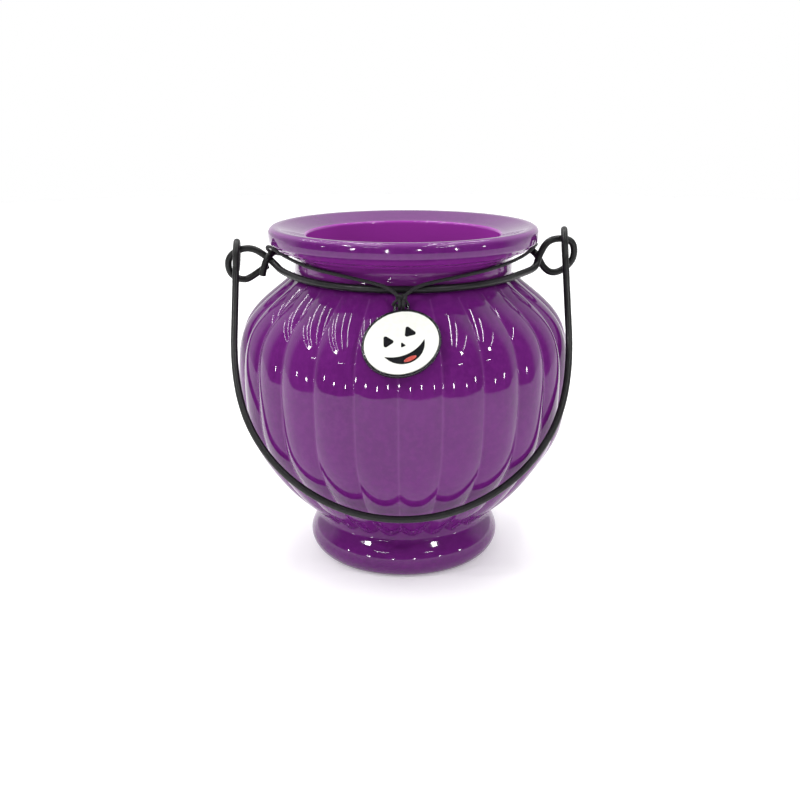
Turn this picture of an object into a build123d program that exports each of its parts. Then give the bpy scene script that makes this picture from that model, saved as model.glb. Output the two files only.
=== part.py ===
from build123d import *
import os
from math import asin, cos, degrees, pi, radians, sin, tan

# A round lobed lantern jar with a wire collar, a swinging wire handle and a charm on a cord.
# Millimetres, +Z up. The origin is the centre of the foot on the surface that the jar stands
# on, and the charm hangs at the front, on the -Y side.

os.makedirs("parts", exist_ok=True)

# Jar: radii are of the lobes' crests
lobe_count = 26
first_groove = -91.7  # degrees from +X, so one groove is nearly at the front
bowl_levels = (  # height, crest radius, depth of a groove as a share of the lobe's width
    (17.2, 34.6, 0.140),
    (21.5, 39.6, 0.140),
    (29.0, 47.3, 0.125),
    (40.0, 55.6, 0.110),
    (53.0, 62.2, 0.100),
    (68.0, 64.2, 0.092),
    (82.0, 64.1, 0.092),
    (94.0, 61.0, 0.100),
    (102.0, 54.6, 0.110),
    (107.5, 48.0, 0.120),
    (112.0, 42.4, 0.120),
)
foot_bottom_radius = 32.5
foot_radius = 37.7
foot_widest = 5.5
waist_radius = 34.2
waist_height = 15.8
recess_radius = 27.0
recess_depth = 3.0
floor_height = 15.5
floor_radius = 22.0
hollow_levels = (  # radius, height: about 4.5 inside the grooves
    (36.2, 24.8),
    (51.6, 42.3),
    (59.6, 66.0),
    (57.4, 90.5),
    (45.2, 104.0),
)
shoulder_radius = 49.2
shoulder_foot = 104.5
neck_foot = 113.0
neck_radius = 41.6
neck_top = 119.5
mouth_radius = 36.7
mouth_foot = 113.6  # the straight mouth starts here, above the hollow's curve
rim_radius = 51.2
rim_underside = 123.6
rim_top = 130.6
rim_fillet = 2.4
lip_height = 127.3
lip_fillet = 1.2

# Wires and cord
collar_wire_radius = 1.3
handle_wire_radius = 1.3
cord_radius = 0.65
bend_share = 0.46  # share of a run that each bend takes up
close_gap = 0.15  # between pieces of one body that rest on each other
running_gap = 0.1  # around a wire that turns in its bearing
free_gap = 0.35  # between pieces that move past each other

# Collar: the neck arcs and the plane of the two eyes
collar_front_height = 113.4
collar_back_height = 117.6
collar_radius = neck_radius + collar_wire_radius + close_gap
leaving_angle = 62.0  # where the strands leave the neck, in degrees from the Y axis

# Handle
hinge_left = Vector(-63.8, 0, 120.0)  # each eye of the handle rides on a collar eye here
hinge_right = Vector(61.6, 0, 124.4)
handle_tilt = 31.3  # lean of the hanging handle out from the vertical
bow_middle = -0.5  # X of the bow's middle
bow_radius = 62.4  # the arms stand this far from the middle
handle_drop = 104.9  # from the hinge to the middle of the bow
handle_eye_radius = 5.2
handle_neck = 7.8  # from the centre of an eye to its bend
eye_drop = 1.4  # from the hinge down to the centre of an eye
eye_twist = 8.0  # turn of the eyes about the arms
eye_end_angle = 341.0

# Charm
charm_lean = 38.0  # it lies against the shoulder of the bowl
charm_touch_height = 97.5
charm_touch_radius = 58.5
charm_x = -0.7
charm_half_width = 13.7
charm_half_height = 12.0
charm_turn = 26.0  # the oval's long axis, in degrees from the horizontal
charm_thickness = 2.0
charm_border = 0.8
enamel_depth = 0.5
enamel_gap = 0.05
loop_wire_radius = 0.55
loop_bar_rise = 14.9  # from the charm's middle to the loop's straight bar
loop_half_width = 2.25
loop_corner = 0.85
loop_foot_rise = 9.6
solder_sink = 0.12
knot_ball_radius = 2.0
knot_ball_rise = 2.4


def between(start, end, share):
    """A value part of the way from start to end."""
    return start + (end - start) * share


def polar(radius, angle):
    """The X and Y of a point at a radius and an angle in degrees from +X."""
    return radius * cos(radians(angle)), radius * sin(radians(angle))


def bend_radii(points):
    """The largest even bend at each corner of a wire, from its shorter run and half its turn."""
    radii = []
    for before, corner, after in zip(points, points[1:], points[2:]):
        run_in = corner - before
        run_out = after - corner
        half_turn = radians(run_in.get_angle(run_out)) / 2
        radii.append(bend_share * min(run_in.length, run_out.length) / tan(half_turn))
    return radii


def add_wire(points, radius):
    """Sweep a round wire or cord along the points into the part being built."""
    points = [Vector(*point) for point in points]
    with BuildLine() as path:
        FilletPolyline(*points, radius=bend_radii(points))
    route = path.wire()
    with BuildSketch(Plane(origin=route @ 0, z_dir=route % 0)) as section:
        Circle(radius)
    sweep(sections=section.sketch, path=route)
    return route.length


def finish(piece, name):
    """Label a finished piece and write its file."""
    piece.label = name
    export_step(piece, f"parts/{name}.step")


# Jar -------------------------------------------------------------------------------------
lobe_angle = 360 / lobe_count

with BuildPart() as jar:
    # The bowl: a ring of convex lobes with a sharp groove between each two
    for height, crest, groove_share in bowl_levels:
        valley = crest - groove_share * 2 * pi * crest / lobe_count
        with BuildSketch(Plane.XY.offset(height)):
            with BuildLine():
                for lobe in range(lobe_count):
                    start = first_groove + lobe * lobe_angle
                    ThreePointArc(
                        polar(valley, start),
                        polar(crest, start + lobe_angle / 2),
                        polar(valley, start + lobe_angle),
                    )
            make_face()
    loft()
    # The foot and the waist, up to where the lobes start
    with BuildSketch(Plane.XZ):
        with BuildLine():
            Line((0, recess_depth), (recess_radius - 4, recess_depth))
            Line((recess_radius - 4, recess_depth), (recess_radius, 0))
            Line((recess_radius, 0), (foot_bottom_radius, 0))
            Spline(
                (foot_bottom_radius, 0),
                (foot_radius, foot_widest),
                (waist_radius + 1.6, waist_height - 3.0),
                (waist_radius, waist_height),
                (waist_radius + 2.2, waist_height + 3.6),
                tangents=((1, 0.15), (1, 1)),
            )
            Line((waist_radius + 2.2, waist_height + 3.6), (0, waist_height + 3.6))
            Line((0, waist_height + 3.6), (0, recess_depth))
        make_face()
    revolve(axis=Axis.Z)
    # The shoulder, the neck and the dished rim
    with BuildSketch(Plane.XZ):
        with BuildLine():
            Polyline(
                (0, shoulder_foot),
                (shoulder_radius, shoulder_foot),
                (neck_radius + 0.6, neck_foot - 1.2),
                (neck_radius, neck_foot),
                (neck_radius, neck_top),
                (rim_radius - 3.0, rim_underside - 1.2),
                (rim_radius, rim_underside + 1.4),
                (rim_radius, rim_top),
                (rim_radius - rim_fillet, rim_top),
                (mouth_radius, lip_height),
                (0, lip_height),
                close=True,
            )
        face = make_face()
        corner = face.vertices().sort_by_distance(Vector(rim_radius, 0, rim_top))[0]
        fillet(corner, rim_fillet * 0.95)
    revolve(axis=Axis.Z)
    # The hollow
    with BuildSketch(Plane.XZ):
        with BuildLine():
            Line((0, floor_height), (floor_radius, floor_height))
            Spline(
                (floor_radius, floor_height),
                *hollow_levels,
                (mouth_radius, mouth_foot),
                tangents=((1, 0.1), (0, 1)),
            )
            Line((mouth_radius, mouth_foot), (mouth_radius, rim_top + 5))
            Line((mouth_radius, rim_top + 5), (0, rim_top + 5))
            Line((0, rim_top + 5), (0, floor_height))
        make_face()
    revolve(axis=Axis.Z, mode=Mode.SUBTRACT)
    lip = jar.edges().filter_by(GeomType.CIRCLE).filter_by(
        lambda edge: abs(edge.radius - mouth_radius) < 0.01 and edge.center().Z > neck_top
    )
    fillet(lip, lip_fillet)

finish(jar.part, "jar")

# Collar -----------------------------------------------------------------------------------
neck_steps = 5


def neck_arc(radius, middle, start_height, end_height):
    """Corners of a wire bent round the neck, centred on a direction in degrees from +X."""
    half_step = leaving_angle / neck_steps
    corners = []
    for step in range(neck_steps):
        share = (2 * step + 1) / (2 * neck_steps)
        x, y = polar(
            radius / cos(radians(half_step)), middle + leaving_angle * (2 * share - 1)
        )
        corners.append((x, y, between(start_height, end_height, share)))
    return corners


# One wire: the hooked end over the left crossing, the back, the right eye, the front and
# the left eye
left_hook = [
    (-53.9, -3.0, 111.6),
    (-53.0, -3.0, 116.0),
    (-50.9, -2.5, 119.6),
    (-48.4, 2.6, 120.3),
    (-44.6, 10.0, 119.0),
]
right_eye = [
    (44.6, 10.0, 119.4),
    (48.7, 4.4, 120.6),
    (51.6, 1.6, 118.6),
    (53.8, 1.3, 113.8),
    (57.4, 1.2, 111.3),
    (61.9, 1.2, 112.8),
    (65.8, 0.6, 117.4),
    (65.1, 0.1, 124.0),
    (59.9, 0.0, 125.2),
    (54.9, -0.8, 124.2),
    (51.7, -1.9, 118.6),
    (50.6, -3.4, 114.4),
    (45.6, -9.6, 113.5),
]
left_eye = [
    (-45.4, -9.4, 113.8),
    (-49.1, -3.6, 116.2),
    (-51.9, 0.0, 117.9),
    (-57.6, 0.0, 121.8),
    (-63.7, 0.0, 121.0),
    (-67.7, 0.4, 117.2),
    (-67.0, 1.0, 111.2),
    (-62.4, 1.3, 109.0),
    (-58.9, 1.2, 109.9),
    (-52.4, 0.4, 114.8),
]
back_arc = neck_arc(collar_radius, 90, collar_back_height + 0.6, collar_back_height)
front_arc = neck_arc(collar_radius, -90, collar_front_height, collar_front_height)

with BuildPart() as collar_wire:
    add_wire(
        left_hook + back_arc[::-1] + right_eye + front_arc[::-1] + left_eye,
        collar_wire_radius,
    )

finish(collar_wire.part, "collar_wire")

# Handle -----------------------------------------------------------------------------------
hinge_middle = (hinge_left + hinge_right) / 2
hinge_axis = (hinge_right - hinge_left).normalized()
hanging = Vector(0, -sin(radians(handle_tilt)), -cos(radians(handle_tilt)))
forward = hanging.cross(hinge_axis).normalized()
eye_turns = 8


def handle_eye(hinge, twist):
    """The eye that rides on the collar: from its cut end round to the bend above the arm."""
    centre = hinge + hanging * eye_drop
    across = forward * cos(radians(twist)) + hinge_axis * sin(radians(twist))
    tangent_angle = degrees(pi / 2 - asin(handle_eye_radius / handle_neck))
    step = (eye_end_angle - tangent_angle) / eye_turns

    def at(radius, angle):
        return (
            centre
            + hanging * radius * cos(radians(angle))
            + across * radius * sin(radians(angle))
        )

    corner_radius = handle_eye_radius / cos(radians(step / 2))
    points = [at(handle_eye_radius, eye_end_angle)]
    for turn in range(eye_turns):
        points.append(at(corner_radius, eye_end_angle - (turn + 0.5) * step))
    points.append(at(handle_neck, 0))
    return points


def handle_bow():
    """Corners of the half-round bow, from the left arm to the right arm."""
    bends = 6
    half_step = 90 / bends
    corner_radius = bow_radius / cos(radians(half_step))
    points = []
    for bend in range(bends):
        x, drop = polar(corner_radius, 180 - (2 * bend + 1) * half_step)
        middle = Vector(bow_middle, 0, hinge_middle.Z)
        points.append(middle + Vector(x, 0, 0) + hanging * (handle_drop - bow_radius + drop))
    return points


with BuildPart() as bail_handle:
    add_wire(
        handle_eye(hinge_left, eye_twist)
        + handle_bow()
        + handle_eye(hinge_right, -eye_twist)[::-1],
        handle_wire_radius,
    )

finish(bail_handle.part, "bail_handle")

# Charm ------------------------------------------------------------------------------------
lean = radians(charm_lean)
outward = Vector(0, -cos(lean), sin(lean))
charm_back = Plane(
    origin=Vector(charm_x, -charm_touch_radius, charm_touch_height) + outward * free_gap,
    x_dir=(1, 0, 0),
    z_dir=outward,
)
turn = radians(charm_turn)
face_plane = Plane(
    origin=charm_back.origin,
    x_dir=charm_back.x_dir * cos(turn) + charm_back.y_dir * sin(turn),
    z_dir=outward,
)
cell_plane = face_plane.offset(charm_thickness - enamel_depth)
loop_depth = -(loop_wire_radius - solder_sink)
flap_pivot = charm_back.from_local_coords((0, loop_bar_rise, loop_depth))
knot_centre = flap_pivot + Vector(0, 0.38, 0.92).normalized() * knot_ball_rise
cell_half_width = charm_half_width - charm_border
cell_half_height = charm_half_height - charm_border


def eye_outline(side, margin=0):
    """A rounded triangle on one side of the face, grown by a margin."""
    with BuildSketch() as outline:
        Polygon((side * 1.7, 1.2), (side * 6.4, 0.4), (side * 4.2, 5.2), align=None)
        fillet(outline.vertices(), 0.7)
        if margin:
            offset(amount=margin)
    return outline.sketch


def nose_outline(margin=0):
    """A small rounded triangle in the middle of the face."""
    with BuildSketch() as outline:
        Polygon((-1.0, -1.7), (1.0, -1.7), (0, 0.3), align=None)
        fillet(outline.vertices(), 0.3)
        if margin:
            offset(amount=margin)
    return outline.sketch


def grin_outline(margin=0):
    """A crescent smile, grown by a margin."""
    x, y = 7.6 + 2 * margin, -2.0 + 1.5 * margin
    with BuildSketch() as outline:
        with BuildLine():
            ThreePointArc((-x, y), (0, -7.9 - margin), (x, y))
            ThreePointArc((x, y), (0, -4.6 + margin), (-x, y))
        make_face()
        fillet(outline.vertices(), 0.35)
    return outline.sketch


def tongue_outline(margin=0):
    """An oval low in the smile, grown by a margin."""
    with BuildSketch() as outline:
        with Locations((0, -6.6)):
            Ellipse(2.3 + margin, 0.75 + margin)
    return outline.sketch


with BuildPart() as charm_base:
    with BuildSketch(face_plane):
        Ellipse(charm_half_width, charm_half_height)
    extrude(amount=charm_thickness)
    rims = charm_base.edges().filter_by(GeomType.ELLIPSE)
    fillet(rims, 0.35)
    with BuildSketch(cell_plane):
        Ellipse(cell_half_width, cell_half_height)
    extrude(amount=charm_thickness, mode=Mode.SUBTRACT)

finish(charm_base.part, "charm_base")

with BuildPart() as charm_white_enamel:
    with BuildSketch(cell_plane):
        Ellipse(cell_half_width - enamel_gap, cell_half_height - enamel_gap)
        for side in (-1, 1):
            add(eye_outline(side, enamel_gap), mode=Mode.SUBTRACT)
        add(nose_outline(enamel_gap), mode=Mode.SUBTRACT)
        add(grin_outline(enamel_gap), mode=Mode.SUBTRACT)
    extrude(amount=enamel_depth)

finish(charm_white_enamel.part, "charm_white_enamel")

with BuildPart() as charm_eyes:
    with BuildSketch(cell_plane):
        for side in (-1, 1):
            add(eye_outline(side))
    extrude(amount=enamel_depth)

finish(charm_eyes.part, "charm_eyes")

with BuildPart() as charm_nose:
    with BuildSketch(cell_plane):
        add(nose_outline())
    extrude(amount=enamel_depth)

finish(charm_nose.part, "charm_nose")

with BuildPart() as charm_grin:
    with BuildSketch(cell_plane):
        add(grin_outline())
        add(tongue_outline(enamel_gap), mode=Mode.SUBTRACT)
    extrude(amount=enamel_depth)

finish(charm_grin.part, "charm_grin")

with BuildPart() as charm_tongue:
    with BuildSketch(cell_plane):
        add(tongue_outline())
    extrude(amount=enamel_depth)

finish(charm_tongue.part, "charm_tongue")


# The wire loop soldered to the charm's back, with a straight bar for the knot
def loop_point(x, rise):
    """A point of the loop's wire, from the charm's middle."""
    return charm_back.from_local_coords((x, rise, loop_depth))


with BuildPart() as charm_loop:
    with BuildLine() as loop_path:
        FilletPolyline(
            loop_point(-loop_half_width, loop_foot_rise),
            loop_point(-loop_half_width, loop_bar_rise),
            loop_point(loop_half_width, loop_bar_rise),
            loop_point(loop_half_width, loop_foot_rise),
            radius=loop_corner,
        )
    with BuildSketch(Plane(origin=loop_path.wire() @ 0, z_dir=loop_path.wire() % 0)):
        Circle(loop_wire_radius)
    sweep(path=loop_path.wire())

finish(charm_loop.part, "charm_loop")

# The knot: two turns of cord round the loop's bar, and the ball where the strands meet
with BuildPart() as cord_knot:
    with Locations(knot_centre):
        Sphere(knot_ball_radius)
    with Locations(Location(flap_pivot, (0, 90, 0))):
        Cylinder(loop_wire_radius + running_gap + 2 * cord_radius, 4 * cord_radius)
        Cylinder(loop_wire_radius + running_gap, 3 * knot_ball_radius, mode=Mode.SUBTRACT)

finish(cord_knot.part, "cord_knot")

# Cord -------------------------------------------------------------------------------------
cord_loop_radius = neck_radius + cord_radius + close_gap
cord_back_height = collar_back_height - collar_wire_radius - cord_radius - close_gap

# Each strand leaves the knot, climbs over the collar, follows the neck and goes over the
# crossing of the collar at its side
cord_over_collar = [(2.9, -46.9, 113.5), (5.4, -45.3, 114.9), (11.2, -43.2, 116.2)]


def neck_cord_front(side):
    """Corners of one front strand, from the knot to where it leaves the neck."""
    strand = [(side * x + charm_x, y, z) for x, y, z in cord_over_collar]
    for angle, height in ((30, 117.3), (53, 118.4)):
        x, y = polar(cord_loop_radius * 1.02, -90 + side * angle)
        strand.append((x, y, height))
    return strand


right_crossing = [
    (46.0, -8.6, 119.9),
    (51.2, 0.2, 122.9),
    (51.2, 5.6, 121.8),
    (46.8, 12.8, 118.0),
]
left_crossing = [
    (-47.4, 11.6, 116.9),
    (-52.2, 4.8, 119.6),
    (-52.4, 0.2, 121.9),
    (-50.6, -3.0, 122.7),
    (-45.4, -9.8, 120.3),
]
right_strand = neck_cord_front(1)
left_strand = neck_cord_front(-1)
back_of_cord = neck_arc(cord_loop_radius, 90, cord_back_height + 0.5, cord_back_height)


def strand_end(first_corner):
    """Where a strand stops, just clear of the knot's ball."""
    towards = (Vector(*first_corner) - knot_centre).normalized()
    return tuple(knot_centre + towards * (knot_ball_radius + free_gap))


cord_points = (
    [strand_end(right_strand[0])]
    + right_strand
    + right_crossing
    + back_of_cord
    + left_crossing
    + left_strand[::-1]
    + [strand_end(left_strand[0])]
)

with BuildPart() as neck_cord:
    cord_length = add_wire(cord_points, cord_radius)

finish(neck_cord.part, "neck_cord")
cord_bends = bend_radii([Vector(*point) for point in cord_points])
print("cord length", round(cord_length, 1), "bends", [round(bend, 1) for bend in cord_bends])
print("hinge axis", hinge_axis, "handle pivot", hinge_middle)
print("flap pivot", flap_pivot, "knot centre", knot_centre, "sway axis", outward)
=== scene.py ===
from math import asin, cos, degrees, pi, radians, sin, tan

import bpy
import numpy as np
from mathutils import Matrix, Vector


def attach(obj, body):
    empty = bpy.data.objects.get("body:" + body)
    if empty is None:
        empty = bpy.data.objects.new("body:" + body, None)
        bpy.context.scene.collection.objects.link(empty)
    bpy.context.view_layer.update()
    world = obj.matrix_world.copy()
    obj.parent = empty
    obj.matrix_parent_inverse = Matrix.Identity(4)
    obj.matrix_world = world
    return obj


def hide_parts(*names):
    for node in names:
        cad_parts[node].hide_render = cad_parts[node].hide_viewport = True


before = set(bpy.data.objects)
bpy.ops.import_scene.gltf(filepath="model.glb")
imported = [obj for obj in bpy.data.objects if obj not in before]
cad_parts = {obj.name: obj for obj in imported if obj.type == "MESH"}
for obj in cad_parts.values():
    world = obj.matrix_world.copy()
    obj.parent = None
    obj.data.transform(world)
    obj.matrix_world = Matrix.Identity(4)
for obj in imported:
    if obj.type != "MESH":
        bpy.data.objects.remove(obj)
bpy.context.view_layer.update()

MM = 0.001
scene = bpy.context.scene


# Helpers: curves --------------------------------------------------------------------------
def vec(point):
    """A point given in millimetres, in metres."""
    return Vector(point) * MM


def polar(radius, angle):
    """X and Y of a point at a radius and an angle in degrees from +X."""
    return radius * cos(radians(angle)), radius * sin(radians(angle))


def spline_through(points, count, start=None, end=None):
    """Points on a smooth curve through the given ones. start and end are end directions."""
    p = np.array(points, float)
    h = np.linalg.norm(np.diff(p, axis=0), axis=1)
    t = np.concatenate(([0], np.cumsum(h)))
    n = len(p)
    a = np.zeros((n, n))
    b = np.zeros_like(p)
    for i in range(1, n - 1):
        a[i, i - 1 : i + 2] = h[i], 2 * (h[i - 1] + h[i]), h[i - 1]
        b[i] = 3 * (h[i] * (p[i] - p[i - 1]) / h[i - 1] + h[i - 1] * (p[i + 1] - p[i]) / h[i])
    for row, other, direction in ((0, 1, start), (n - 1, n - 2, end)):
        a[row, row] = 1
        if direction is None:
            a[row, row], a[row, other] = 2, 1
            b[row] = 3 * (p[max(row, other)] - p[min(row, other)]) / h[min(row, other)]
        else:
            b[row] = np.array(direction, float) / np.linalg.norm(direction)
    slope = np.linalg.solve(a, b)
    at = np.linspace(0, t[-1], count)
    k = np.clip(np.searchsorted(t, at, side="right") - 1, 0, n - 2)
    u = ((at - t[k]) / h[k])[:, None]
    hk = h[k][:, None]
    return (
        (1 + 2 * u) * (1 - u) ** 2 * p[k]
        + u * (1 - u) ** 2 * hk * slope[k]
        + u**2 * (3 - 2 * u) * p[k + 1]
        + u**2 * (u - 1) * hk * slope[k + 1]
    )


def rounded(corners, radii, step=0.45, run_step=1.6):
    """Points along straight runs whose inner corners are rounded."""
    out = [Vector(corners[0])]
    for before, corner, after, radius in zip(corners, corners[1:], corners[2:], radii):
        corner = Vector(corner)
        run_in = (corner - Vector(before)).normalized()
        run_out = (Vector(after) - corner).normalized()
        turn = run_in.angle(run_out)
        first = corner - run_in * radius * tan(turn / 2)
        inward = (run_out - run_in).normalized()
        along = (run_in + run_out).normalized()
        centre = corner + inward * (radius / cos(turn / 2))
        run_pieces = int((first - out[-1]).length / run_step)
        for left in range(run_pieces + 1, 1, -1):
            out.append(out[-1].lerp(first, 1 / left))
        arc_pieces = max(3, int(radius * turn / step) + 1)
        for i in range(arc_pieces + 1):
            share = turn * (i / arc_pieces - 0.5)
            out.append(centre - inward * radius * cos(share) + along * radius * sin(share))
    out.append(Vector(corners[-1]))
    return np.array(out)


def nurbs_line(points, density=12, closed=False):
    """Points along the smooth NURBS spline that has these points as its control points."""
    curve = bpy.data.curves.new("line", "CURVE")
    curve.dimensions = "3D"
    curve.resolution_u = density
    spline = curve.splines.new("NURBS")
    spline.points.add(len(points) - 1)
    for point, place in zip(spline.points, points):
        point.co = (*place, 1)
    spline.order_u = 3
    spline.use_endpoint_u = not closed
    spline.use_cyclic_u = closed
    holder = bpy.data.objects.new("line", curve)
    line = bpy.data.meshes.new_from_object(holder)
    found = [v.co.copy() for v in line.vertices]
    bpy.data.objects.remove(holder)
    bpy.data.meshes.remove(line)
    bpy.data.curves.remove(curve)
    return found


# Helpers: meshes --------------------------------------------------------------------------
def mesh_object(name, vertices, faces, smooth=True):
    """A mesh object from vertices in metres."""
    mesh = bpy.data.meshes.new(name)
    mesh.from_pydata([tuple(v) for v in vertices], [], faces)
    mesh.update()
    if smooth:
        mesh.shade_smooth()
    obj = bpy.data.objects.new(name, mesh)
    scene.collection.objects.link(obj)
    return obj


def skin(rings, sides, closed=False):
    """Faces over rings of vertices, and over both ends unless the last ring meets the first."""
    faces = []
    for i in range(rings if closed else rings - 1):
        near, far = i * sides, (i + 1) % rings * sides
        for k in range(sides):
            n = (k + 1) % sides
            faces.append((near + k, near + n, far + n, far + k))
    if not closed:
        faces.append(tuple(range(sides))[::-1])
        faces.append(tuple(range((rings - 1) * sides, rings * sides)))
    return faces


def spaced(line, least, closed):
    """The points of a line, without those that stand closer together than the least distance."""
    points = [line[0]]
    for place in line[1:]:
        if (place - points[-1]).length > least:
            points.append(place)
    if closed and (points[0] - points[-1]).length < least:
        points.pop()
    return points


def directions(points, closed):
    """The line's direction and an untwisted sideways direction at each point.

    The third result is the angle by which a closed line's last side misses its first one.
    """
    count = len(points)
    tangents = []
    for i in range(count):
        before = points[i - 1] if closed or i else points[i]
        after = points[(i + 1) % count] if closed or i < count - 1 else points[i]
        tangents.append((after - before).normalized())
    side = tangents[0].orthogonal().normalized()
    sideways = [side]
    for i in range(1, count):
        side = tangents[i - 1].rotation_difference(tangents[i]) @ side
        sideways.append((side - tangents[i] * side.dot(tangents[i])).normalized())
    slip = 0.0
    if closed:
        side = tangents[-1].rotation_difference(tangents[0]) @ side
        slip = side.angle(sideways[0])
        if side.cross(sideways[0]).dot(tangents[0]) < 0:
            slip = -slip
    return tangents, sideways, slip


def end_rings(ring, sign, cap):
    """Ever smaller rings past a tube's end ring, which round its cut end."""
    place, tangent, side, gone, radius, _ = ring
    steps = 4
    found = []
    for k in range(1, steps + 1):
        angle = pi / 2 * k / steps
        centre = place + tangent * sign * radius * cap * sin(angle)
        found.append((centre, tangent, side, gone, radius * max(cos(angle), 0.02), 0.0))
    return found


def tube(name, line, radius, sides=20, closed=False, plies=0, twist=0.0, depth=0.0, cap=0.5):
    """A tube along a line of points. plies, twist (turns a metre) and depth make it a cord."""
    points = spaced(line, radius * 0.12, closed)
    tangents, sideways, slip = directions(points, closed)
    rings = []
    gone = 0.0
    for i, point in enumerate(points):
        gone += (point - points[i - 1]).length if i else 0.0
        rings.append((point, tangents[i], sideways[i], gone, radius, slip * i / len(points)))
    if not closed:
        rings = end_rings(rings[0], -1, cap)[::-1] + rings + end_rings(rings[-1], 1, cap)
    vertices = []
    for place, tangent, side, gone, ring_radius, roll in rings:
        other = tangent.cross(side)
        for k in range(sides):
            angle = 2 * pi * k / sides + roll
            grow = 1.0
            if plies:
                phase = plies * (angle - 2 * pi * twist * gone) / 2
                grow = 1 - depth * (1 - abs(sin(phase))) ** 2
            vertices.append(place + (side * cos(angle) + other * sin(angle)) * ring_radius * grow)
    return mesh_object(name, vertices, skin(len(rings), sides, closed))


def join(name, pieces):
    """Several mesh objects as one."""
    vertices, faces = [], []
    for piece in pieces:
        start = len(vertices)
        mesh = piece.data
        vertices += [piece.matrix_world @ v.co for v in mesh.vertices]
        faces += [tuple(start + v for v in p.vertices) for p in mesh.polygons]
        bpy.data.objects.remove(piece)
        bpy.data.meshes.remove(mesh)
    return mesh_object(name, vertices, faces)


# Helpers: materials -----------------------------------------------------------------------
class Look:
    """A Principled material being built from nodes."""

    def __init__(self, name, **values):
        self.material = bpy.data.materials.new(name)
        self.material.use_nodes = True
        self.nodes = self.material.node_tree.nodes
        self.links = self.material.node_tree.links
        self.shader = self.nodes["Principled BSDF"]
        for key, value in values.items():
            self.shader.inputs[key.replace("_", " ")].default_value = value
        self.place = self.nodes.new("ShaderNodeTexCoord").outputs["Object"]

    def stretch(self, x, y, z):
        """The object's own coordinates, scaled along each axis."""
        node = self.nodes.new("ShaderNodeMapping")
        node.inputs["Scale"].default_value = (x, y, z)
        self.links.new(self.place, node.inputs["Vector"])
        return node.outputs["Vector"]

    def noise(self, scale, detail=3.0, roughness=0.5, place=None):
        """Noise from 0 to 1."""
        node = self.nodes.new("ShaderNodeTexNoise")
        node.inputs["Scale"].default_value = scale
        node.inputs["Detail"].default_value = detail
        node.inputs["Roughness"].default_value = roughness
        self.links.new(place or self.place, node.inputs["Vector"])
        return node.outputs["Fac"]

    def spread(self, value, low, high, to_low=0.0, to_high=1.0):
        """A value between low and high, spread smoothly over a new range."""
        node = self.nodes.new("ShaderNodeMapRange")
        node.interpolation_type = "SMOOTHSTEP"
        node.inputs["From Min"].default_value = low
        node.inputs["From Max"].default_value = high
        node.inputs["To Min"].default_value = to_low
        node.inputs["To Max"].default_value = to_high
        self.links.new(value, node.inputs["Value"])
        return node.outputs["Result"]

    def math(self, kind, a, b):
        """The sum, product or greater of two values, either of which may be a number."""
        node = self.nodes.new("ShaderNodeMath")
        node.operation = kind
        for socket, value in zip(node.inputs, (a, b)):
            if isinstance(value, (int, float)):
                socket.default_value = value
            else:
                self.links.new(value, socket)
        return node.outputs["Value"]

    def attribute(self, name):
        """A value kept at the mesh's points."""
        node = self.nodes.new("ShaderNodeAttribute")
        node.attribute_name = name
        return node.outputs["Fac"]

    def mix(self, factor, a, b):
        """A blend of two colours, either of which may come from another node."""
        node = self.nodes.new("ShaderNodeMix")
        node.data_type = "RGBA"
        self.links.new(factor, node.inputs[0])
        for socket, value in ((node.inputs[6], a), (node.inputs[7], b)):
            if isinstance(value, tuple):
                socket.default_value = (*value, 1)
            else:
                self.links.new(value, socket)
        return node.outputs[2]

    def bump(self, height, distance, after=None):
        """A normal that shows heights from 0 to 1 as relief of this depth in metres."""
        node = self.nodes.new("ShaderNodeBump")
        node.inputs["Strength"].default_value = 1.0
        node.inputs["Distance"].default_value = distance
        self.links.new(height, node.inputs["Height"])
        if after:
            self.links.new(after, node.inputs["Normal"])
        return node.outputs["Normal"]

    def plug(self, socket, name):
        """Joins a node's output to the shader's input of this name."""
        self.links.new(socket, self.shader.inputs[name])


def wear(obj, look, body, slot, *nodes):
    """Gives a piece its material and body, and hides the CAD nodes that it stands for. slot is not used.
    """
    obj.data.materials.clear()
    obj.data.materials.append(look.material)
    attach(obj, body)
    if nodes:
        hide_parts(*nodes)
    return obj


# Materials --------------------------------------------------------------------------------
PURPLE_DEEP = (0.092, 0.0072, 0.113)
PURPLE = (0.110, 0.0098, 0.134)
PURPLE_MOTTLE = (0.134, 0.0135, 0.160)
PURPLE_SPECK = (0.066, 0.004, 0.083)
# Paler purple where the glaze draws back at the edges, and painted reflection along the grooves and on
# the rim's edges
PURPLE_THIN_AND_SHEEN = (0.24, 0.065, 0.27)
PURPLE_NECK = (0.19, 0.021, 0.215)
# Painted light: the inside is painted paler, as if lit through the wall
PURPLE_INSIDE_LIT = (0.33, 0.036, 0.35)
BARE_CLAY = (0.62, 0.56, 0.47)
SCUFFED = (0.055, 0.055, 0.055)


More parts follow.
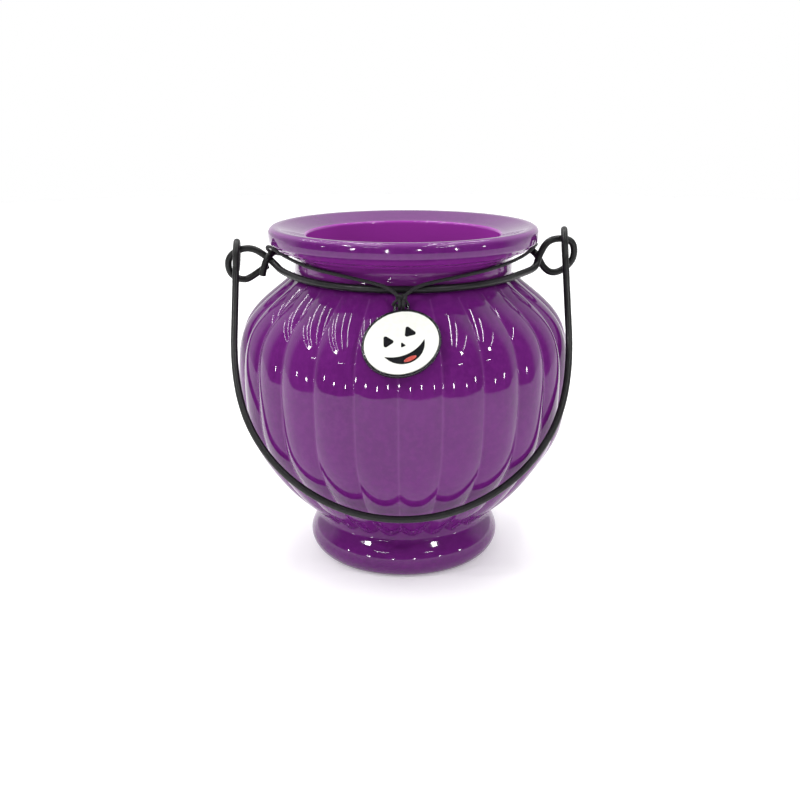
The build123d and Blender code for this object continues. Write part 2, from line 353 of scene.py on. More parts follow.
def purple_glaze():
    """Clear gloss over a cloudy purple: paler where it runs thinner, with painted reflection on grooves
    and edges and painted light inside, and none under the foot.
    """
    look = Look("purple_glaze", IOR=1.40)
    bare = look.attribute("bare")
    neck = look.attribute("neck")
    speck = look.spread(look.noise(1500, 2, 0.5), 0.66, 0.8)
    colour = look.mix(look.spread(look.noise(38, 4, 0.55), 0.3, 0.7), PURPLE_DEEP, PURPLE)
    for factor, over in (
        (look.spread(look.noise(420, 3, 0.6), 0.35, 0.75, 0.0, 0.5), PURPLE_MOTTLE),
        (look.math("MULTIPLY", speck, 0.35), PURPLE_SPECK),
        # painted reflection on the grooves and edges, partly glaze drawing back there
        (look.math("MULTIPLY", look.attribute("thin_and_sheen"), 0.55), PURPLE_THIN_AND_SHEEN),
        (look.math("MULTIPLY", neck, 0.8), PURPLE_NECK),
        # painted light over the inside
        (look.attribute("inside"), PURPLE_INSIDE_LIT),
        (bare, BARE_CLAY),
    ):
        colour = look.mix(factor, colour, over)
    look.plug(colour, "Base Color")
    gloss = look.spread(look.noise(70, 3, 0.6), 0.3, 0.75, 0.035, 0.085)
    look.plug(look.math("MAXIMUM", gloss, look.math("MULTIPLY", bare, 0.8)), "Roughness")
    neck_waves = look.noise(1, 3, 0.55, look.stretch(120, 120, 420))
    waves = look.math(
        "ADD", look.noise(48, 2, 0.5), look.math("MULTIPLY", neck_waves, look.math("MULTIPLY", neck, 1.3))
    )
    normal = look.bump(waves, 0.00015)
    look.plug(look.bump(look.noise(850, 2, 0.5), 0.0000013, normal), "Normal")
    return look


def black_coat(name, colour, roughness, grain, grain_height):
    """A black coating with fine grain, scuffs and a little dust."""
    look = Look(name, IOR=1.38)
    dust = look.spread(look.noise(160, 4, 0.65), 0.5, 0.8)
    scuff = look.spread(look.noise(900, 3, 0.6), 0.62, 0.78)
    dusty = tuple(3 * c + 0.006 for c in colour)
    tone = look.mix(look.math("MULTIPLY", dust, 0.4), colour, dusty)
    tone = look.mix(look.math("MULTIPLY", scuff, 0.35), tone, SCUFFED)
    look.plug(tone, "Base Color")
    patches = look.noise(grain * 0.4, 3, 0.6)
    look.plug(look.spread(patches, 0.3, 0.7, roughness - 0.07, roughness + 0.1), "Roughness")
    look.plug(look.bump(look.noise(grain, 2, 0.5), grain_height), "Normal")
    return look


def waxed_cord():
    """Black waxed fibre."""
    look = Look("black_cord", IOR=1.45, Roughness=0.7, Sheen_Weight=0.06, Sheen_Roughness=0.5)
    fibre = look.noise(1, 3, 0.7, look.stretch(5200, 5200, 5200))
    tone = look.mix(look.spread(fibre, 0.35, 0.75), (0.004, 0.004, 0.004), (0.014, 0.014, 0.015))
    look.plug(tone, "Base Color")
    look.plug(look.bump(fibre, 0.00006), "Normal")
    return look


def black_nickel():
    """Dark plating with tarnish and fine scratches."""
    look = Look("black_nickel", Metallic=1.0)
    tarnish = look.spread(look.noise(900, 4, 0.6), 0.3, 0.75)
    look.plug(look.mix(tarnish, (0.030, 0.030, 0.034), (0.065, 0.064, 0.068)), "Base Color")
    look.plug(look.spread(look.noise(2600, 3, 0.6), 0.3, 0.75, 0.16, 0.34), "Roughness")
    look.plug(look.bump(look.noise(3800, 2, 0.5), 0.000006), "Normal")
    return look


def enamel(name, low, high):
    """Glossy enamel with a little unevenness from its curing."""
    look = Look(name, IOR=1.5, Coat_Weight=0.4, Coat_Roughness=0.03)
    look.plug(look.mix(look.spread(look.noise(700, 4, 0.6), 0.3, 0.7), low, high), "Base Color")
    look.plug(look.spread(look.noise(1300, 2, 0.5), 0.3, 0.7, 0.06, 0.15), "Roughness")
    look.plug(look.bump(look.noise(620, 2, 0.5), 0.00003), "Normal")
    return look


glaze = purple_glaze()
wire_black = black_coat("black_wire", (0.007, 0.007, 0.007), 0.38, 2200, 0.000012)
cord_black = waxed_cord()
nickel = black_nickel()
enamel_white = enamel("white_enamel", (0.74, 0.755, 0.69), (0.79, 0.80, 0.745))
enamel_black = enamel("black_enamel", (0.004, 0.004, 0.005), (0.012, 0.012, 0.014))
enamel_red = enamel("red_enamel", (0.42, 0.055, 0.045), (0.56, 0.10, 0.08))

# Jar --------------------------------------------------------------------------------------
LOBES = 26
LOBE_ANGLE = 2 * pi / LOBES
FIRST_GROOVE = radians(-91.7)
BOWL = [  # crest radius, height, depth of a groove as a share of the lobe's width
    (34.6, 17.2, 0.140), (39.6, 21.5, 0.140), (47.3, 29.0, 0.125), (55.6, 40.0, 0.110),
    (62.2, 53.0, 0.100), (64.2, 68.0, 0.092), (64.1, 82.0, 0.092), (61.0, 94.0, 0.100),
    (54.6, 102.0, 0.110), (48.0, 107.5, 0.120), (42.4, 112.0, 0.120),
]
FOOT_FACE = 32.5
RECESS_HEIGHT = 3.0
COVE, COVE_HEIGHT = 34.2, 15.8
FOOT = [(FOOT_FACE, 0), (37.7, 5.5), (35.8, 12.8), (COVE, COVE_HEIGHT), (36.4, 19.4)]
FOOT_TOP = 15.9
BOWL_LOW = 16.1
BOWL_HIGH = 113.2
SHOULDER = [(47.6, 106.0), (42.1, 111.6), (41.6, 112.8)]
NECK = 41.6
MOUTH = 36.7
RIM_TOP = 130.6
NECK_AND_RIM = [
    (41.66, 113.4), (NECK, 119.3), (44.3, 120.9), (44.6, 121.35), (48.3, 122.6), (48.7, 123.1),
    (51.0, 124.9), (51.2, 127.0), (51.15, RIM_TOP), (47.6, 130.35), (39.0, 127.75),
    (36.75, 127.2), (MOUTH, 113.6),
]
NECK_AND_RIM_BENDS = [2.2, 0.35, 0.35, 0.5, 0.5, 1.2, 2.0, 2.15, 4.0, 1.6, 1.1]
INSIDE_FLOOR = 15.5
INSIDE = [
    (22.0, INSIDE_FLOOR), (36.2, 24.8), (51.6, 42.3), (59.6, 66.0), (57.4, 90.5), (45.2, 104.0),
    (MOUTH, 113.6),
]
# Places across half a lobe, from groove to crest, closer together beside the groove
HALF_LOBE = [0.018, 0.045, 0.09, 0.15, 0.22, 0.30, 0.38, 0.46]

across = [0.0] + HALF_LOBE + [1 - share for share in reversed(HALF_LOBE)]
shares = np.array(across * LOBES)
from_groove = np.minimum(shares, 1 - shares)
angles = FIRST_GROOVE + (np.repeat(np.arange(LOBES), len(across)) + shares) * LOBE_ANGLE
off_crest = (shares - 0.5) * LOBE_ANGLE
crests = spline_through([(crest, height) for crest, height, _ in BOWL], 1400)


def lobed(crest, groove_share):
    """Radii round a section of the bowl whose crests have this radius."""
    valley = crest * (1 - groove_share * LOBE_ANGLE)
    centre = (crest**2 - valley**2) / (2 * (crest - valley * cos(LOBE_ANGLE / 2)))
    return centre * np.cos(off_crest) + np.sqrt(
        (crest - centre) ** 2 - (centre * np.sin(off_crest)) ** 2
    )


def soft_max(a, b, width):
    """The greater of two values, with a smooth passage from one to the other."""
    return (a + b + np.sqrt((a - b) ** 2 + width**2)) / 2


def crest_at(z):
    """The crests' radius, which runs on straight past the bowl's two ends."""
    (low_crest, low, _), (next_crest, next_height, _) = BOWL[:2]
    high_crest, high, _ = BOWL[-1]
    if z < low:
        return low_crest - (low - z) * (next_crest - low_crest) / (next_height - low)
    if z > high:
        return high_crest - (z - high) * 1.3
    return float(np.interp(z, crests[:, 1], crests[:, 0]))


def bowl_radii(z):
    """Radii round the bowl: lobes with rounded ends, which rise out of the foot and the neck."""
    groove_share = np.interp(z, [height for _, height, _ in BOWL], [share for _, _, share in BOWL])
    # how far the lobes' sides draw in, which dies away from each end of the bowl
    rounding = 2.6 * np.exp((16.5 - z) / 2.6) + 0.9 * np.exp((z - 112) / 1.5)
    radii = lobed(crest_at(z), groove_share) - (2 * shares - 1) ** 2 * rounding
    # near the ends a plain cone runs under the lobes, and leaves them further in
    if z < 26:
        cone = COVE + 0.22 * (z - COVE_HEIGHT) - max(0, z - 19.4) * 0.7
        return soft_max(radii, cone, 0.10)
    if z > 100:
        heights, cone_radii = [height for _, height in SHOULDER], [radius for radius, _ in SHOULDER]
        cone = float(np.interp(z, heights, cone_radii)) - max(0, heights[0] - z) * 1.2
        return soft_max(radii, cone, 0.22)
    return radii


def jar_rings():
    """The jar's rings, from under the foot up the outside and down the inside.

    Each has its radius, or its radii at all the angles, its height and what it belongs to.
    """
    recess = [(6.0, RECESS_HEIGHT), (23.0, RECESS_HEIGHT), (27.0, 0.0), (FOOT_FACE, 0.0)]
    found = [
        (r, z, "bare" if z < 0.4 else "recess") for r, z in rounded(recess, [1.5, 0.7], run_step=3)
    ]
    for r, z in spline_through(FOOT, 240, (1, 0.15), (1, 1))[4:]:
        if z < FOOT_TOP and (z - found[-1][1] > 0.28 or r - found[-1][0] > 0.5):
            found.append((r, z, "foot"))
    close, apart = 0.28, 1.5
    low_end, middle, high_end = (BOWL_LOW, 24, close), (24, 104, apart), (104, BOWL_HIGH, close)
    for z in np.concatenate([np.arange(*stretch) for stretch in (low_end, middle, high_end)]):
        found.append((bowl_radii(z), z, "bowl"))
    for r, z in rounded(NECK_AND_RIM, NECK_AND_RIM_BENDS, step=0.32):
        found.append((r, z, "neck"))
    for r, z in spline_through(INSIDE, 58, (1, 0.1), (0, 1))[-2::-1]:
        found.append((r, z, "inside"))
    return found + [(r, INSIDE_FLOOR, "inside") for r in (15.0, 8.0, 3.0)]


def thin_glaze_and_sheen(r, z, kind):
    """How pale a ring is painted: the glaze draws back from the edges and from the grooves, and painted
    reflection lies on both.
    """
    if kind == "bowl" and 19.5 < z < 110:
        # painted reflection: a pale line along each groove
        return 0.45 * np.exp(-((from_groove / 0.026) ** 2))
    if kind != "neck":
        return np.zeros(len(angles))
    # pale rim and flange edges: painted reflection, and glaze drawing back
    edges = [  # radius, height, width and strength
        (50.7, 130.1, 0.9, 1.0), (37.0, 127.0, 0.8, 1.0), (44.5, 121.2, 0.35, 0.35),
    ]
    found = [
        strength * np.exp(-((np.hypot(r - edge_r, z - edge_z) / width) ** 2))
        for edge_r, edge_z, width, strength in edges
    ]
    if r > 50:
        found.append(0.4 * np.exp(-(((z - 125.1) / 0.35) ** 2)))
    return np.full(len(angles), min(1.0, max(found)))


def jar_mesh():
    """The jar's mesh, with the values that its glaze reads kept at its points."""
    turns = np.stack((np.cos(angles), np.sin(angles)), axis=1)
    rings = jar_rings()
    vertices = []
    values = {"thin_and_sheen": [], "bare": [], "neck": [], "inside": []}
    for radii, z, kind in rings:
        radii = np.broadcast_to(radii, (len(angles),))
        r = float(radii[0])
        vertices.append(np.column_stack((turns * radii[:, None], np.full(len(angles), z))) * MM)
        values["thin_and_sheen"].append(thin_glaze_and_sheen(r, z, kind))
        for name, holds in (
            ("bare", kind == "bare"),
            ("neck", kind == "neck" and r < 51 and z < 124.5),
            # the inside and the mouth's inner wall get painted light
            ("inside", kind == "inside" or (r < MOUTH + 0.8 and z > 100)),
        ):
            values[name].append(np.full(len(angles), float(holds)))
    obj = mesh_object("jar_body", np.concatenate(vertices), skin(len(rings), len(angles)))
    for name, per_ring in values.items():
        layer = obj.data.attributes.new(name, "FLOAT", "POINT")
        layer.data.foreach_set("value", np.concatenate(per_ring).astype(np.float32))
    return obj


wear(jar_mesh(), glaze, "jar", "purple_glaze", "jar")

# Collar -----------------------------------------------------------------------------------
WIRE = 1.3
CORD = 0.65
CLOSE = 0.15
BACK_HEIGHT = 117.6


def neck_arc(radius, middle, start_height, end_height):
    """Corners of a wire bent round the neck, centred on a direction in degrees from +X."""
    half_span = 62
    corner_count = 5
    corner_radius = radius / cos(radians(half_span / corner_count))
    corners = []
    for step in range(corner_count):
        share = (2 * step + 1) / (2 * corner_count)
        x, y = polar(corner_radius, middle + half_span * (2 * share - 1))
        corners.append((x, y, start_height + (end_height - start_height) * share))
    return corners


left_hook = [
    (-53.9, -3.0, 111.6), (-53.0, -3.0, 116.0), (-50.9, -2.5, 119.6), (-48.4, 2.6, 120.3),
    (-44.6, 10.0, 119.0),
]
right_eye = [
    (44.6, 10.0, 119.4), (48.7, 4.4, 120.6), (51.6, 1.6, 118.6), (53.8, 1.3, 113.8),
    (57.4, 1.2, 111.3), (61.9, 1.2, 112.8), (65.8, 0.6, 117.4), (65.1, 0.1, 124.0),
    (59.9, 0.0, 125.2), (54.9, -0.8, 124.2), (51.7, -1.9, 118.6), (50.6, -3.4, 114.4),
    (45.6, -9.6, 113.5),
]
left_eye = [
    (-45.4, -9.4, 113.8), (-49.1, -3.6, 116.2), (-51.9, 0.0, 117.9), (-57.6, 0.0, 121.8),
    (-63.7, 0.0, 121.0), (-67.7, 0.4, 117.2), (-67.0, 1.0, 111.2), (-62.4, 1.3, 109.0),
    (-58.9, 1.2, 109.9), (-52.4, 0.4, 114.8),
]
collar_radius = NECK + WIRE + CLOSE
collar_points = (
    left_hook
    + neck_arc(collar_radius, 90, 118.2, BACK_HEIGHT)[::-1]
    + right_eye
    + neck_arc(collar_radius, -90, 113.4, 113.4)[::-1]
    + left_eye
)
collar = tube("collar_shape", nurbs_line([vec(p) for p in collar_points]), WIRE * MM, 22, cap=0.25)
wear(collar, wire_black, "jar", "black_wire", "collar_wire")

# Handle -----------------------------------------------------------------------------------
HANDLE_TILT = 31.3
BOW_RADIUS = 62.4
BOW_BENDS = 6
HANDLE_DROP = 104.9
EYE_RADIUS = 5.2
EYE_NECK = 7.8
EYE_DROP = 1.4
EYE_TWIST = 8.0
EYE_END = 341.0
EYE_BENDS = 8
hinge_left, hinge_right = Vector((-63.8, 0, 120.0)), Vector((61.6, 0, 124.4))
hinge_axis = (hinge_right - hinge_left).normalized()
hanging = Vector((0, -sin(radians(HANDLE_TILT)), -cos(radians(HANDLE_TILT))))
forward = hanging.cross(hinge_axis).normalized()
bow_middle = Vector((-0.5, 0, (hinge_left.z + hinge_right.z) / 2))


def handle_eye(hinge, twist):
    """The eye that rides on the collar: from its cut end round to the bend above the arm."""
    centre = hinge + hanging * EYE_DROP
    sideways = forward * cos(radians(twist)) + hinge_axis * sin(radians(twist))
    first = degrees(pi / 2 - asin(EYE_RADIUS / EYE_NECK))
    step = (EYE_END - first) / EYE_BENDS

    def at(radius, angle):
        down, across_eye = polar(radius, angle)
        return centre + hanging * down + sideways * across_eye

    corner = EYE_RADIUS / cos(radians(step / 2))
    points = [at(EYE_RADIUS, EYE_END)]
    points += [at(corner, EYE_END - (turn + 0.5) * step) for turn in range(EYE_BENDS)]
    return points + [at(EYE_NECK, 0)]


def handle_bow():
    """The bends of the handle's half circle, from the left arm to the right one."""
    half_bend = 90 / BOW_BENDS
    points = []
    for bend in range(BOW_BENDS):
        x, drop = polar(BOW_RADIUS / cos(radians(half_bend)), 180 - (2 * bend + 1) * half_bend)
        points.append(bow_middle + Vector((x, 0, 0)) + hanging * (HANDLE_DROP - BOW_RADIUS + drop))
    return points


left_end, right_end = handle_eye(hinge_left, EYE_TWIST), handle_eye(hinge_right, -EYE_TWIST)[::-1]
handle_line = nurbs_line([vec(p) for p in left_end + handle_bow() + right_end], 24)
handle = tube("handle_shape", handle_line, WIRE * MM, 22, cap=0.25)
wear(handle, wire_black, "handle", "black_wire", "bail_handle")

# Charm ------------------------------------------------------------------------------------
CHARM_HALF_WIDTH = 13.7
CHARM_HALF_HEIGHT = 12.0
CHARM_X = -0.7
CHARM_LEAN = radians(38)
CHARM_TURN = radians(26)
TOUCH_RADIUS = 58.5
TOUCH_HEIGHT = 97.5
TOUCH_GAP = 0.35
BORDER = 0.85
CELL_LOW = 1.3
DETAIL_LOW = 1.6
GRIN_CORNER = (7.45, -2.15)
outward = Vector((0, -cos(CHARM_LEAN), sin(CHARM_LEAN)))
upward = Vector((0, sin(CHARM_LEAN), cos(CHARM_LEAN)))
back = Vector((CHARM_X, -TOUCH_RADIUS, TOUCH_HEIGHT)) + outward * TOUCH_GAP
long_way = Vector((1, 0, 0)) * cos(CHARM_TURN) + upward * sin(CHARM_TURN)
short_way = outward.cross(long_way).normalized()
FACE = Matrix((
    (*long_way, 0), (*short_way, 0), (*outward, 0), (0, 0, 0, 1)
)).transposed()
FACE.translation = back


def on_face(obj):
    """Moves a piece drawn in the charm's own plane, in millimetres, to its place in metres."""
    obj.data.transform(FACE)
    obj.data.transform(Matrix.Scale(MM, 4))
    obj.data.update()
    return obj


def plate(name, outline, low, high, edge):
    """A plate between two heights with rounded upper and lower edges."""
    curve = bpy.data.curves.new(name, "CURVE")
    curve.dimensions = "2D"
    curve.fill_mode = "BOTH"
    curve.bevel_depth = edge
    curve.bevel_resolution = 4
    curve.offset = -edge
    curve.extrude = (high - low) / 2 - edge
    spline = curve.splines.new("POLY")
    spline.points.add(len(outline) - 1)
    for point, (x, y) in zip(spline.points, outline):
        point.co = (x, y, 0, 1)
    spline.use_cyclic_u = True
    holder = bpy.data.objects.new(name, curve)
    mesh = bpy.data.meshes.new_from_object(holder)
    bpy.data.objects.remove(holder)
    bpy.data.curves.remove(curve)
    mesh.transform(Matrix.Translation((0, 0, (high + low) / 2)))
    mesh.shade_smooth()
    obj = bpy.data.objects.new(name, mesh)
    scene.collection.objects.link(obj)
    return on_face(obj)


def ellipse(rx, ry, count=96, x=0.0, y=0.0):
    """The outline of an ellipse about a point."""
    steps = [2 * pi * i / count for i in range(count)]
    return [(x + rx * cos(step), y + ry * sin(step)) for step in steps]


def soft_polygon(corners, radius):
    """A closed outline with rounded corners."""
    arc_pieces = 8
    out = []
    n = len(corners)
    for i in range(n):
        before, corner, after = (Vector(corners[j % n]) for j in (i - 1, i, i + 1))
        run_in, run_out = (corner - before).normalized(), (after - corner).normalized()
        bend = run_in.angle(run_out)
        inward = (run_out - run_in).normalized()
        along = (run_in + run_out).normalized()
        centre = corner + inward * (radius / cos(bend / 2))
        for k in range(arc_pieces + 1):
            turn = bend * (k / arc_pieces - 0.5)
            p = centre - inward * radius * cos(turn) + along * radius * sin(turn)
            out.append((p.x, p.y))
    return out


def sagging_arc(x, y, middle_y, count=28):
    """Points of the arc from (-x, y) through (0, middle_y) to (x, y)."""
    sag = y - middle_y
    radius = (x * x + sag * sag) / (2 * sag)
    half = asin(min(1, x / radius))
    if sag > x:
        half = pi - half
    turns = [half * (2 * i / count - 1) for i in range(count + 1)]
    return [(radius * sin(turn), middle_y + radius - radius * cos(turn)) for turn in turns]


def charm_blank():
    """The metal blank: a disc with a rounded edge, a raised border and a sunk cell."""
    sections = (  # distance in from the outline, height
        (9.0, 0.0), (3.0, 0.0), (1.0, 0.0), (0.45, 0.0), (0.28, 0.03), (0.13, 0.11), (0.04, 0.24),
        (0.0, 0.4), (0.0, 1.0), (0.0, 1.6), (0.04, 1.78), (0.13, 1.91), (0.26, 1.98), (0.4, 2.0),
        (0.55, 1.98), (0.68, 1.9), (0.76, 1.78), (0.8, 1.62), (0.8, 1.5), (1.4, 1.5), (4.0, 1.5),
        (9.0, 1.5),
    )
    sides = 120
    points = []
    for inset, height in sections:
        outline = ellipse(CHARM_HALF_WIDTH - inset, CHARM_HALF_HEIGHT - inset, sides)
        points += [(x, y, height) for x, y in outline]
    return on_face(mesh_object("charm_blank", points, skin(len(sections), sides)))


eyes = [soft_polygon([(s * 1.7, 1.2), (s * 6.4, 0.4), (s * 4.2, 5.2)][::s], 0.7) for s in (-1, 1)]
nose = soft_polygon([(-1.0, -1.7), (1.0, -1.7), (0, 0.3)], 0.3)
grin = sagging_arc(*GRIN_CORNER, -7.9) + sagging_arc(*GRIN_CORNER, -4.6)[-2:0:-1]
tongue = ellipse(2.3, 0.75, 48, 0, -6.6)

wear(charm_blank(), nickel, "charm", "black_nickel", "charm_base")
field = ellipse(CHARM_HALF_WIDTH - BORDER, CHARM_HALF_HEIGHT - BORDER)
white = plate("charm_white_field", field, CELL_LOW, 1.9, 0.16)
wear(white, enamel_white, "charm", "white_enamel", "charm_white_enamel")
for number, eye in enumerate(eyes):
    piece = plate(f"charm_eye_{number}", eye, DETAIL_LOW, 2.02, 0.14)
    stands_for = ["charm_eyes"] if number == 0 else []
    wear(piece, enamel_black, "charm", "black_enamel", *stands_for)
nose_dot = plate("charm_nose_dot", nose, DETAIL_LOW, 2.0, 0.12)
wear(nose_dot, enamel_black, "charm", "black_enamel", "charm_nose")
smile = plate("charm_smile", grin, DETAIL_LOW, 2.0, 0.12)
wear(smile, enamel_black, "charm", "black_enamel", "charm_grin")
tongue_spot = plate("charm_tongue_spot", tongue, DETAIL_LOW, 2.06, 0.12)
wear(tongue_spot, enamel_red, "charm", "red_enamel", "charm_tongue")

# Loop on the charm's back: a staple with a straight bar, on which the knot turns
LOOP_WIRE = 0.55
LOOP_DEPTH = -0.43
LOOP_TOP = 14.9
half_staple = [(2.25, 9.6), (2.25, 13.1), (2.2, 14.75), (1.5, LOOP_TOP)]
staple = [(-x, rise) for x, rise in half_staple] + [(0, LOOP_TOP)] + half_staple[::-1]
staple_points = [
    vec(back + Vector((1, 0, 0)) * x + upward * rise + outward * LOOP_DEPTH) for x, rise in staple
]
loop = tube("charm_loop_shape", nurbs_line(staple_points), LOOP_WIRE * MM, 16)
wear(loop, nickel, "charm", "black_nickel", "charm_loop")

# Knot: two turns of cord round the loop's bar, under a small tight knot with two tails
LAID = dict(plies=3, twist=150.0, depth=0.16)
TIGHT_CORD = 0.62
TURN_CORD = 0.6
TAIL_CORD = 0.5
TURN_CORNERS = 10
TIGHT_CORNERS = 18
flap_pivot = back + upward * LOOP_TOP + outward * LOOP_DEPTH
knot_centre = flap_pivot + Vector((0, 0.38, 0.92)).normalized() * 2.4


def turn_of_cord(x):
    """One turn of cord round the bar. Its corners stand outside the circle that they make."""
    radius = (LOOP_WIRE + 0.1 + TIGHT_CORD) * 1.08
    corners = []
    for k in range(TURN_CORNERS):
        y, z = polar(radius, 360 * k / TURN_CORNERS)
        corners.append(vec(flap_pivot + Vector((x, y, z))))
    return tube("turn", nurbs_line(corners, 8, True), TURN_CORD * MM, 18, True, **LAID)


def tight_knot():
    """A trefoil pulled tight."""
    corners = []
    for k in range(TIGHT_CORNERS):
        t = 2 * pi * k / TIGHT_CORNERS
        x, y, z = sin(t) + 2 * sin(2 * t), cos(t) - 2 * cos(2 * t), -sin(3 * t)
        corners.append(vec(knot_centre + Vector((x * 0.56, z * 0.78, y * 0.5))))
    return tube("tight", nurbs_line(corners, 8, True), TIGHT_CORD * MM, 18, True, **LAID)


def tail(side, reach):
    """A cut end of the cord, hanging beside the knot."""
    corners = [
        (0.4 * side, 0.3, 0.2), (1.3 * side, -0.5, -0.5), (reach * side * 0.85, -0.9, -1.3),
        (reach * side, -0.8, -2.2),
    ]
    line = nurbs_line([vec(knot_centre + Vector(corner)) for corner in corners], 8)
    return tube("tail", line, TAIL_CORD * MM, 16, **LAID)


knot_pieces = [turn_of_cord(-0.66), turn_of_cord(0.66), tight_knot(), tail(-1, 2.9), tail(1, 2.4)]
wear(join("knot_shape", knot_pieces), cord_black, "knot", "black_cord", "cord_knot")

# Neck cord --------------------------------------------------------------------------------
def neck_cord_front(side):
    """The cord's route from the knot round one side of the neck's front.

    On the neck its corners stand a little further out, because the line passes inside them.
    """
    strand = [
        (side * x + CHARM_X, y, z)
        for x, y, z in ((2.9, -46.9, 113.5), (5.4, -45.3, 114.9), (11.2, -43.2, 116.2))
    ]
    for angle, height in ((30, 117.3), (53, 118.4)):
        x, y = polar((NECK + CORD + CLOSE) * 1.02, -90 + side * angle)
        strand.append((x, y, height))
    return strand


right_crossing = [(46.0, -8.6, 119.9), (51.2, 0.2, 122.9), (51.2, 5.6, 121.8), (46.8, 12.8, 118.0)]
left_crossing = [
    (-47.4, 11.6, 116.9), (-52.2, 4.8, 119.6), (-52.4, 0.2, 121.9), (-50.6, -3.0, 122.7),
    (-45.4, -9.8, 120.3),
]
cord_start = tuple(knot_centre + Vector((0.7, 0.0, 0.5)))
cord_end = tuple(knot_centre + Vector((-0.7, 0.0, 0.5)))
under_collar = BACK_HEIGHT - WIRE - CORD - CLOSE
cord_points = (
    [cord_start] + neck_cord_front(1) + right_crossing
    + neck_arc(NECK + CORD + CLOSE, 90, under_collar + 0.5, under_collar)
    + left_crossing + neck_cord_front(-1)[::-1] + [cord_end]
)
cord_line = nurbs_line([vec(p) for p in cord_points], 26)
cord = tube("neck_cord_shape", cord_line, CORD * MM, 18, **LAID)
wear(cord, cord_black, "jar", "black_cord", "neck_cord")

# Floor ------------------------------------------------------------------------------------
# It ends close in front of the jar, so that the dark front of the room shows above it in the
# glaze. Behind the jar it goes on further.
FLOOR_FRONT = 0.52
FLOOR_BACK = 1.5
FLOOR_CORNERS = 144


def floor_outline():
    """The floor's corners, whose distance grows smoothly from the front to the back."""
    corners = []
    for k in range(FLOOR_CORNERS):
        angle = 2 * pi * k / FLOOR_CORNERS
        share = min(1.0, max(0.0, sin(angle) + 0.25))
        reach = FLOOR_FRONT + (FLOOR_BACK - FLOOR_FRONT) * share * share * (3 - 2 * share)
        corners.append((reach * cos(angle), reach * sin(angle), 0))
    return corners


floor = mesh_object("floor", floor_outline(), [tuple(range(FLOOR_CORNERS))], smooth=False)
paper = Look("floor_paper", Roughness=0.9, Emission_Color=(1, 1, 1, 1), Emission_Strength=0.26)
paper.plug(paper.mix(paper.noise(300, 3, 0.6), (0.82, 0.82, 0.82), (0.86, 0.86, 0.86)), "Base Color")
floor.data.materials.append(paper.material)


# Room -------------------------------------------------------------------------------------
ROOM_FRONT = (0.10, 0.10, 0.11, 1)
ROOM_BACK = (0.95, 0.95, 0.96, 1)


def studio_world():
    """A pale room whose front is dark. The camera sees plain white in its place."""
    world = bpy.data.worlds.new("studio")
    world.use_nodes = True
    nodes, links = world.node_tree.nodes, world.node_tree.links
    nodes.clear()
    apart = nodes.new("ShaderNodeSeparateXYZ")
    links.new(nodes.new("ShaderNodeTexCoord").outputs["Generated"], apart.inputs[0])
    behind = nodes.new("ShaderNodeMapRange")
    behind.interpolation_type = "SMOOTHSTEP"
    behind.inputs["From Min"].default_value = -0.05
    behind.inputs["From Max"].default_value = 0.30
    links.new(apart.outputs["Y"], behind.inputs["Value"])
    room = nodes.new("ShaderNodeMix")
    room.data_type = "RGBA"
    room.inputs[6].default_value = ROOM_FRONT
    room.inputs[7].default_value = ROOM_BACK
    links.new(behind.outputs["Result"], room.inputs[0])
    room_light = nodes.new("ShaderNodeBackground")
    links.new(room.outputs[2], room_light.inputs["Color"])
    plain = nodes.new("ShaderNodeBackground")
    plain.inputs["Color"].default_value = (1, 1, 1, 1)
    plain.inputs["Strength"].default_value = 1.0
    choose = nodes.new("ShaderNodeMixShader")
    links.new(nodes.new("ShaderNodeLightPath").outputs["Is Camera Ray"], choose.inputs[0])
    links.new(room_light.outputs[0], choose.inputs[1])
    links.new(plain.outputs[0], choose.inputs[2])
    links.new(choose.outputs[0], nodes.new("ShaderNodeOutputWorld").inputs["Surface"])
    return world


scene.world = studio_world()


# Lamps ------------------------------------------------------------------------------------
def area(name, place, towards, width, height, power):
    """A rectangular lamp that the camera doesn't see."""
    data = bpy.data.lights.new(name, "AREA")
    data.shape = "RECTANGLE"
    data.size, data.size_y = width, height
    data.energy = power
    lamp = bpy.data.objects.new(name, data)
    scene.collection.objects.link(lamp)
    lamp.location = place
    lamp.rotation_euler = (Vector(towards) - Vector(place)).to_track_quat("-Z", "Y").to_euler()
    lamp.visible_camera = False


JAR_MIDDLE = (0, 0, 0.08)
TUBE_HEIGHT = 1.45
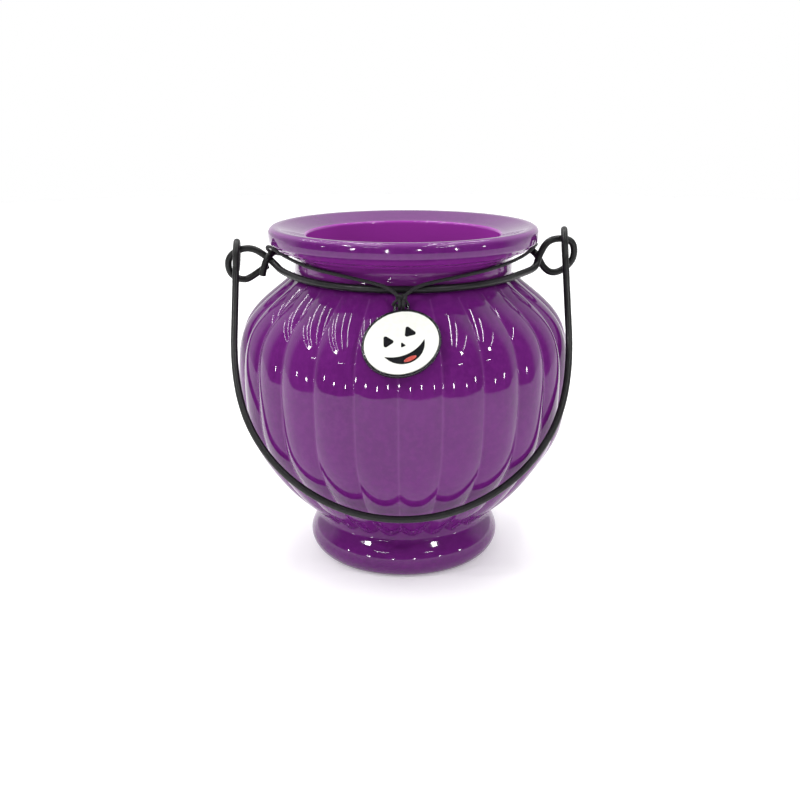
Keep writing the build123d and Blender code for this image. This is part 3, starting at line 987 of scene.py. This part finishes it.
# Long thin tubes overhead, which make the streaks on the shoulders and the rim
for group, places, y, target, width, length, power in (
    ("left", (-1.6, -1.3, -1.1, -0.72, -0.4), -0.1, (1.0, -0.1), 0.02, 1.9, 4.2),
    ("right", (0.35, 0.62, 1.2), -0.45, (1.0, -0.45), 0.025, 0.9, 3.4),
    ("back", (-0.3, 0.5), 0.5, (0.9, 0.45), 0.035, 0.8, 5.5),
):
    for number, x in enumerate(places):
        below = (x * target[0], target[1], 0)
        area(f"tube_{group}_{number}", (x, y, TUBE_HEIGHT), below, width, length, power)
# Small lamps in a low row round the front
for azimuth, height, width, tall, power in (
    (-158, 0.09, 0.03, 0.10, 0.9), (-131, 0.05, 0.09, 0.06, 1.3), (-103, 0.02, 0.03, 0.09, 0.9),
    (-78, 0.07, 0.05, 0.09, 1.1), (-47, 0.03, 0.03, 0.07, 0.8), (-22, 0.08, 0.06, 0.10, 1.1),
):
    area(f"low_{-azimuth}", (*polar(1.5, azimuth), height), JAR_MIDDLE, width, tall, power)
# Two windows high in the front, and a thin bar below each
for name, azimuth, reach, height, width, tall, power in (
    ("high_left", -142, 1.25, 1.05, 0.17, 0.13, 6.0),
    ("high_right", -46, 1.25, 1.08, 0.15, 0.12, 5.0),
    ("bar_left", -118, 1.5, 0.74, 0.42, 0.012, 1.6),
    ("bar_right", -58, 1.5, 0.70, 0.26, 0.012, 1.0),
):
    area(name, (*polar(reach, azimuth), height), JAR_MIDDLE, width, tall, power)

# Camera -----------------------------------------------------------------------------------
IMAGE_WIDTH = 800
FOCAL_LENGTH = 1020.4  # in the widths of a pixel, as is the shift
SHIFT = -3.65
SENSOR = 36
CAMERA_PLACE = (0, -0.3907, 0.1789)
AIM_HEIGHT = 0.06066
ROLL = radians(-0.136)
camera_data = bpy.data.cameras.new("camera")
camera_data.sensor_width = SENSOR
camera_data.lens = FOCAL_LENGTH / IMAGE_WIDTH * SENSOR
camera_data.shift_x = SHIFT / IMAGE_WIDTH
camera_data.clip_start = 0.01
camera = bpy.data.objects.new("camera", camera_data)
scene.collection.objects.link(camera)
camera.location = CAMERA_PLACE
facing = (Vector((0, 0, AIM_HEIGHT)) - camera.location).to_track_quat("-Z", "Y")
camera.rotation_mode = "QUATERNION"
camera.rotation_quaternion = facing @ Matrix.Rotation(ROLL, 4, "Z").to_quaternion()
scene.camera = camera

scene.view_settings.view_transform = "Standard"
scene.view_settings.look = "None"
scene.view_settings.exposure = 0.0
